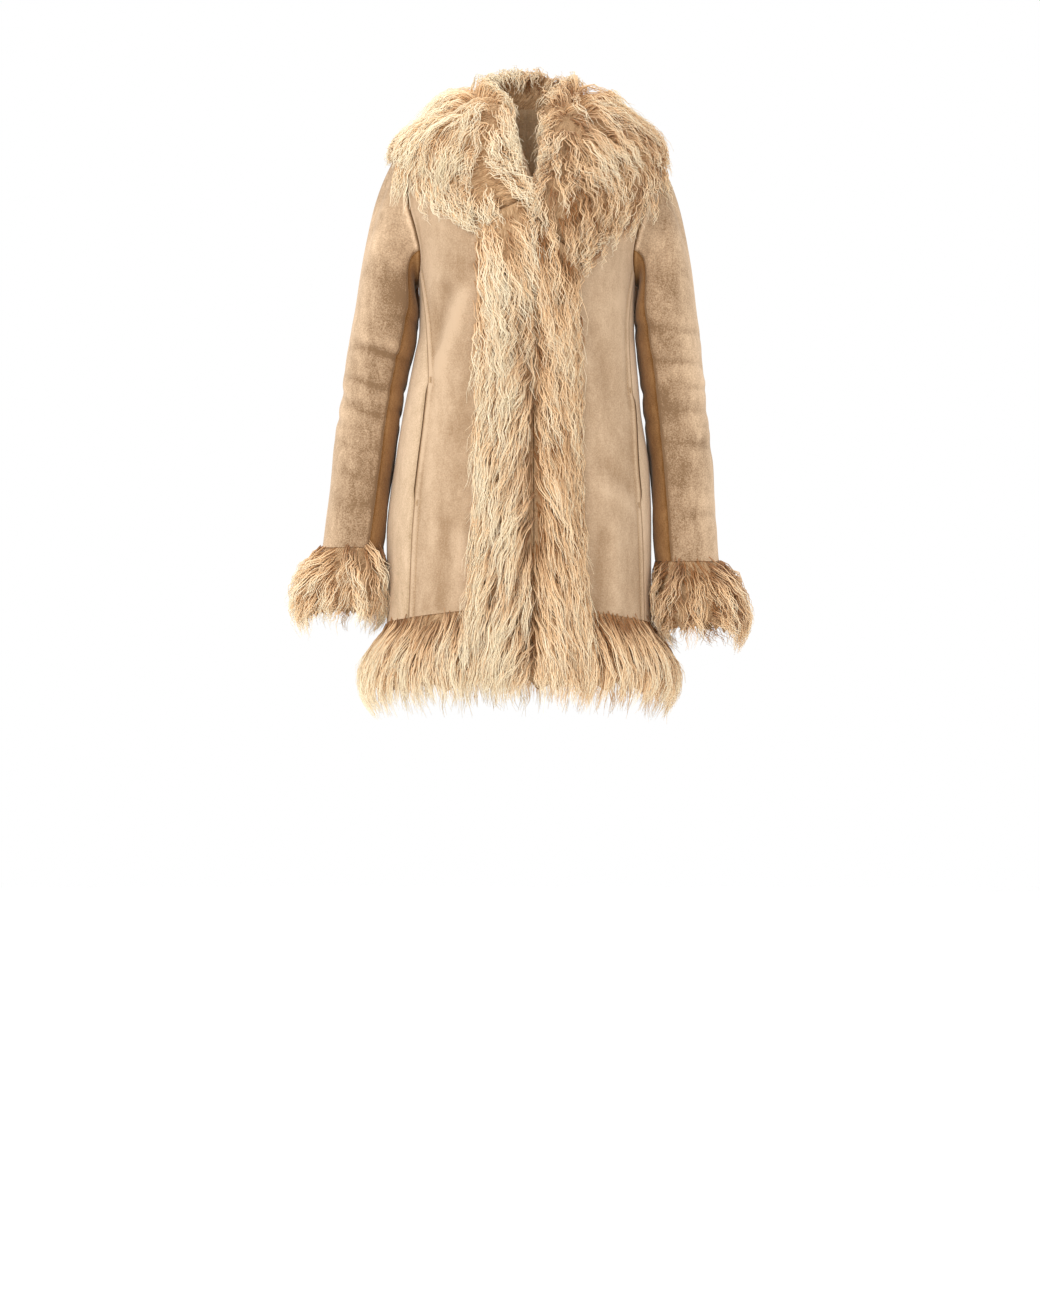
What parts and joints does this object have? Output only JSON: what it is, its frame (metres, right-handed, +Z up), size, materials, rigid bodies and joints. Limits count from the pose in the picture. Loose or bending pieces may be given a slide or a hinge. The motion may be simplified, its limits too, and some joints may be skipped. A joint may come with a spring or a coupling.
{
  "type": "faux fur coat",
  "caption": "Hip-length open coat of faux suede with a wide curly faux fur collar, front bands, cuffs and hem, hollow as worn.",
  "frame": {"origin": "at neck height between the two shoulder seams' neck ends, where the wearer's shoulders hold the coat up", "axes": "+Z up, -Y the coat's front, +X the wearer's left"},
  "size_m": [0.608, 0.3763, 0.87],
  "materials": {
    "suede": "brushed faux suede, matt, light camel",
    "sleeve_suede": "brushed faux suede, matt, darker camel with nap marks",
    "fur": "long curly faux fur, peach beige with paler tips"
  },
  "bodies": {
    "root": {"front_right": "suede", "front_left": "suede", "side_right": "suede", "side_left": "suede", "back_right": "suede", "back_left": "suede", "sleeve_right_upper": "sleeve_suede", "sleeve_right_under": "sleeve_suede", "sleeve_left_upper": "sleeve_suede", "sleeve_left_under": "sleeve_suede", "collar_fur": "fur", "front_band_right": "fur", "front_band_left": "fur", "hem_band": "fur", "cuff_right": "fur", "cuff_left": "fur"}
  },
  "joints": []
}
